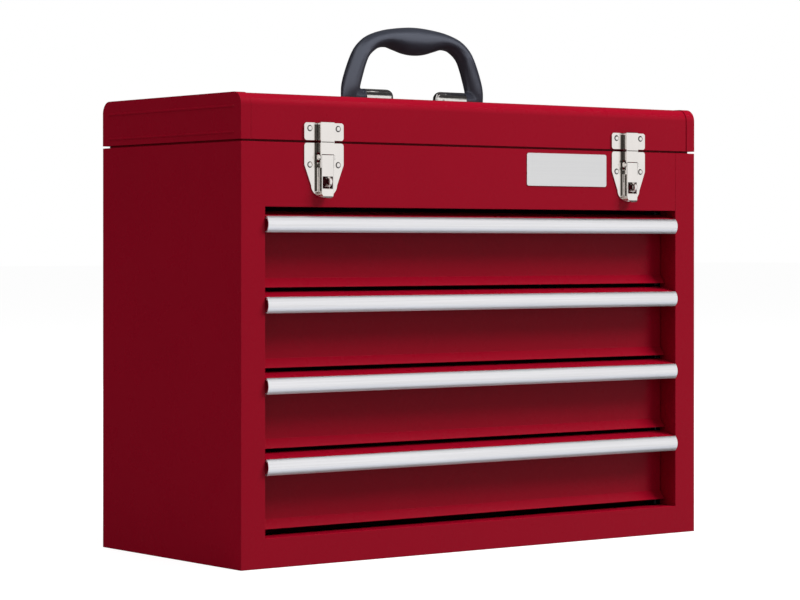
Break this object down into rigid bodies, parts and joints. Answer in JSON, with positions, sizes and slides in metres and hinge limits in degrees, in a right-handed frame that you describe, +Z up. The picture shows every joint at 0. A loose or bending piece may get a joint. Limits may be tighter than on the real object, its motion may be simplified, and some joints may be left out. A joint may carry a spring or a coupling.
{
  "type": "portable tool box with drawers",
  "caption": "Upright steel tool box with a hinged lid, a folding carrying handle, draw latches and shallow drawers with full-width pulls.",
  "frame": {"origin": "middle of the case's flat underside", "axes": "+X to the right along the front, +Y from the front to the back, +Z up"},
  "size_m": [0.5214, 0.2427, 0.4744],
  "materials": {
    "red_paint": "glossy powder coat",
    "brushed_aluminium": "brushed along its length",
    "nickel_plate": "bright plated",
    "zinc_steel": "zinc plated",
    "grip_plastic": "soft satin",
    "plate_metal": "satin"
  },
  "bodies": {
    "case": {"left_side_panel": "red_paint", "right_side_panel": "red_paint", "back_panel": "red_paint", "bottom_pan": "red_paint", "bottom_rail": "red_paint", "front_top_panel": "red_paint", "compartment_floor": "red_paint", "inner_rim": "red_paint", "slide_uprights": "zinc_steel", "drawer_1_rails": "zinc_steel", "drawer_2_rails": "zinc_steel", "drawer_3_rails": "zinc_steel", "drawer_4_rails": "zinc_steel", "name_plate": "plate_metal", "left_latch_base": "nickel_plate", "right_latch_base": "nickel_plate", "left_staple": "nickel_plate", "right_staple": "nickel_plate", "left_pivot_studs": "nickel_plate", "right_pivot_studs": "nickel_plate", "left_hinge_case_leaf": "red_paint", "right_hinge_case_leaf": "red_paint", "left_hinge_pin": "zinc_steel", "right_hinge_pin": "zinc_steel", "case_rivets": "nickel_plate"},
    "lid": {"lid_wrap": "red_paint", "left_end_cap": "red_paint", "right_end_cap": "red_paint", "left_keeper": "nickel_plate", "right_keeper": "nickel_plate", "left_hinge_lid_leaf": "red_paint", "right_hinge_lid_leaf": "red_paint", "left_handle_bracket": "nickel_plate", "right_handle_bracket": "nickel_plate", "lid_rivets": "nickel_plate"},
    "handle": {"handle_grip": "grip_plastic", "left_handle_pin": "zinc_steel", "right_handle_pin": "zinc_steel"},
    "drawer_1": {"drawer_1_tray": "red_paint", "drawer_1_front": "red_paint", "drawer_1_pull": "brushed_aluminium", "drawer_1_slides": "zinc_steel"},
    "drawer_2": {"drawer_2_tray": "red_paint", "drawer_2_front": "red_paint", "drawer_2_pull": "brushed_aluminium", "drawer_2_slides": "zinc_steel"},
    "drawer_3": {"drawer_3_tray": "red_paint", "drawer_3_front": "red_paint", "drawer_3_pull": "brushed_aluminium", "drawer_3_slides": "zinc_steel"},
    "drawer_4": {"drawer_4_tray": "red_paint", "drawer_4_front": "red_paint", "drawer_4_pull": "brushed_aluminium", "drawer_4_slides": "zinc_steel"},
    "left_lever": {"left_latch_lever": "nickel_plate", "left_hook_pin": "nickel_plate"},
    "left_hook": {"left_latch_hook": "nickel_plate"},
    "right_lever": {"right_latch_lever": "nickel_plate", "right_hook_pin": "nickel_plate"},
    "right_hook": {"right_latch_hook": "nickel_plate"}
  },
  "joints": [
    {"name": "lid_hinge", "type": "hinge", "parent": "case", "child": "lid", "pos_m": [0, 0.1154, 0.36125], "axis": [-1, 0, 0], "range_deg": [0, 100]},
    {"name": "handle_fold", "type": "hinge", "parent": "lid", "child": "handle", "pos_m": [0, -0.01, 0.4092], "axis": [1, 0, 0], "range_deg": [-80, 80]},
    {"name": "drawer_1_slide", "type": "slide", "parent": "case", "child": "drawer_1", "axis": [0, -1, 0], "range_m": [0, 0.15]},
    {"name": "drawer_2_slide", "type": "slide", "parent": "case", "child": "drawer_2", "axis": [0, -1, 0], "range_m": [0, 0.15]},
    {"name": "drawer_3_slide", "type": "slide", "parent": "case", "child": "drawer_3", "axis": [0, -1, 0], "range_m": [0, 0.15]},
    {"name": "drawer_4_slide", "type": "slide", "parent": "case", "child": "drawer_4", "axis": [0, -1, 0], "range_m": [0, 0.15]},
    {"name": "left_lever_swing", "type": "hinge", "parent": "case", "child": "left_lever", "pos_m": [-0.175, -0.1156, 0.348], "axis": [-1, 0, 0], "range_deg": [0, 120]},
    {"name": "left_hook_swing", "type": "hinge", "parent": "left_lever", "child": "left_hook", "pos_m": [-0.175, -0.1152, 0.341], "axis": [-1, 0, 0], "range_deg": [-140, 0]},
    {"name": "right_lever_swing", "type": "hinge", "parent": "case", "child": "right_lever", "pos_m": [0.175, -0.1156, 0.348], "axis": [-1, 0, 0], "range_deg": [0, 120]},
    {"name": "right_hook_swing", "type": "hinge", "parent": "right_lever", "child": "right_hook", "pos_m": [0.175, -0.1152, 0.341], "axis": [-1, 0, 0], "range_deg": [-140, 0]}
  ],
  "couplings": [
    {"joint": "left_hook_swing", "follows": "left_lever_swing", "ratio": -1.15},
    {"joint": "right_hook_swing", "follows": "right_lever_swing", "ratio": -1.15}
  ]
}
